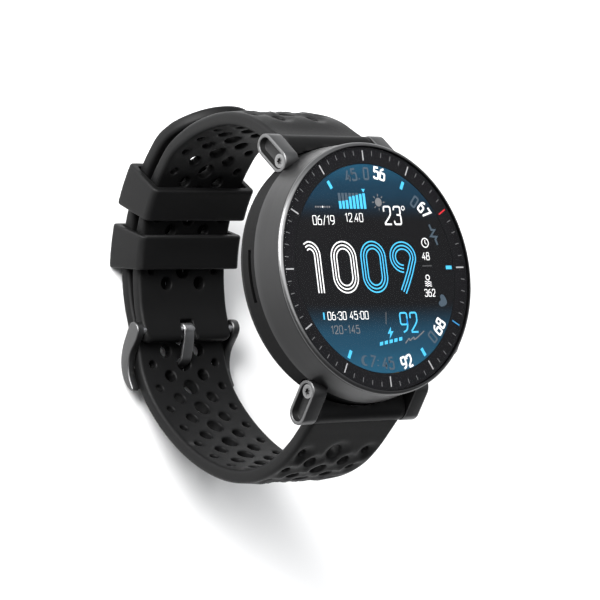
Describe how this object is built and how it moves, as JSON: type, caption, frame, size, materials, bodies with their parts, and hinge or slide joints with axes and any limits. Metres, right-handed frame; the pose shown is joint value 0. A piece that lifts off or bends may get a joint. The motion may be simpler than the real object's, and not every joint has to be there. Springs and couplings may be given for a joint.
{
  "type": "gps running watch",
  "caption": "Round GPS running watch with a metal front band, polymer rear case, screwed lug links and a perforated rubber strap buckled into a loop.",
  "frame": {"origin": "on the table under the middle of the buckled watch", "axes": "+Z out of the display, +Y towards 12 o'clock, +X towards 3 o'clock, the side of the crown and the push button"},
  "size_m": [0.0442, 0.0672, 0.0585],
  "materials": {
    "gunmetal": "bead-blasted gunmetal",
    "satin": "satin grey",
    "rubber": "matt black",
    "polymer": "matt black",
    "glass": "clear",
    "sensor_glass": "smoked",
    "dial": "fine matt",
    "screen": "black emissive panel",
    "board": "solder-masked",
    "chip": "matt",
    "steel": "satin",
    "gold": "gold plated",
    "pouch": "laminated foil",
    "frame_plastic": "glass-filled",
    "led": "clear"
  },
  "bodies": {
    "watch": {"bezel_band": "gunmetal", "rear_case": "polymer", "cover_glass": "glass", "glass_gasket": "rubber", "chapter_ring": "dial", "display_panel": "screen", "display_flex": "gold", "gnss_antenna": "gold", "inner_frame": "frame_plastic", "main_board": "board", "processor_shield": "steel", "radio_chips": "chip", "battery": "pouch", "vibration_motor": "steel", "speaker": "chip", "speaker_mesh": "polymer", "case_seal": "rubber", "back_cover": "polymer", "back_screws": "steel", "sensor_window": "sensor_glass", "sensor_board": "board", "sensor_leds": "led", "photodiodes": "chip", "charging_contacts": "gold", "crown_spring": "steel", "crown_encoder": "chip", "button_spring": "steel", "button_switch": "chip", "upper_left_lug": "satin", "upper_right_lug": "satin", "lower_left_lug": "satin", "lower_right_lug": "satin", "lug_screws": "steel", "upper_strap_bar": "steel", "lower_strap_bar": "steel", "upper_strap": "rubber", "lower_strap": "rubber", "buckle_bar": "steel"},
    "crown_press": {"crown_clip": "steel"},
    "crown": {"crown_cap": "gunmetal", "crown_stem": "steel", "crown_seal": "rubber"},
    "push_button": {"button_cap": "gunmetal", "button_stem": "steel", "button_seal": "rubber", "button_clip": "steel"},
    "buckle": {"buckle_frame": "satin"},
    "tongue": {"buckle_tongue": "satin"},
    "keeper_by_tip": {"upper_keeper": "rubber"},
    "keeper_by_buckle": {"lower_keeper": "rubber"}
  },
  "joints": [
    {"name": "crown_push", "type": "slide", "parent": "watch", "child": "crown_press", "axis": [-0.866, -0.5, 0], "range_m": [0, 0.0004], "stiffness_N_per_m": 600, "springref_m": -0.0008},
    {"name": "crown_turn", "type": "hinge", "parent": "crown_press", "child": "crown", "pos_m": [0.01732, 0.00861, 0.05431], "axis": [0.866, 0.5, 0], "continuous": true},
    {"name": "button_push", "type": "slide", "parent": "watch", "child": "push_button", "axis": [-0.866, 0.5, 0], "range_m": [0, 0.0004], "stiffness_N_per_m": 600, "springref_m": -0.0008},
    {"name": "buckle_swing", "type": "hinge", "parent": "watch", "child": "buckle", "pos_m": [0, -0.00338, 0.00586], "axis": [1, 0, 0], "range_deg": [0, 5]},
    {"name": "tongue_swing", "type": "hinge", "parent": "watch", "child": "tongue", "pos_m": [0, -0.00338, 0.00586], "axis": [1, 0, 0], "range_deg": [0, 5]},
    {"name": "tip_keeper_slide", "type": "hinge", "parent": "watch", "child": "keeper_by_tip", "pos_m": [0, 0.00057, 0.03621], "axis": [1, 0, 0], "range_deg": [-2, 9]},
    {"name": "buckle_keeper_slide", "type": "hinge", "parent": "watch", "child": "keeper_by_buckle", "pos_m": [0, 0.00057, 0.03621], "axis": [1, 0, 0], "range_deg": [-6, 2]}
  ],
  "couplings": [
    {"joint": "tongue_swing", "follows": "buckle_swing", "ratio": 1}
  ]
}
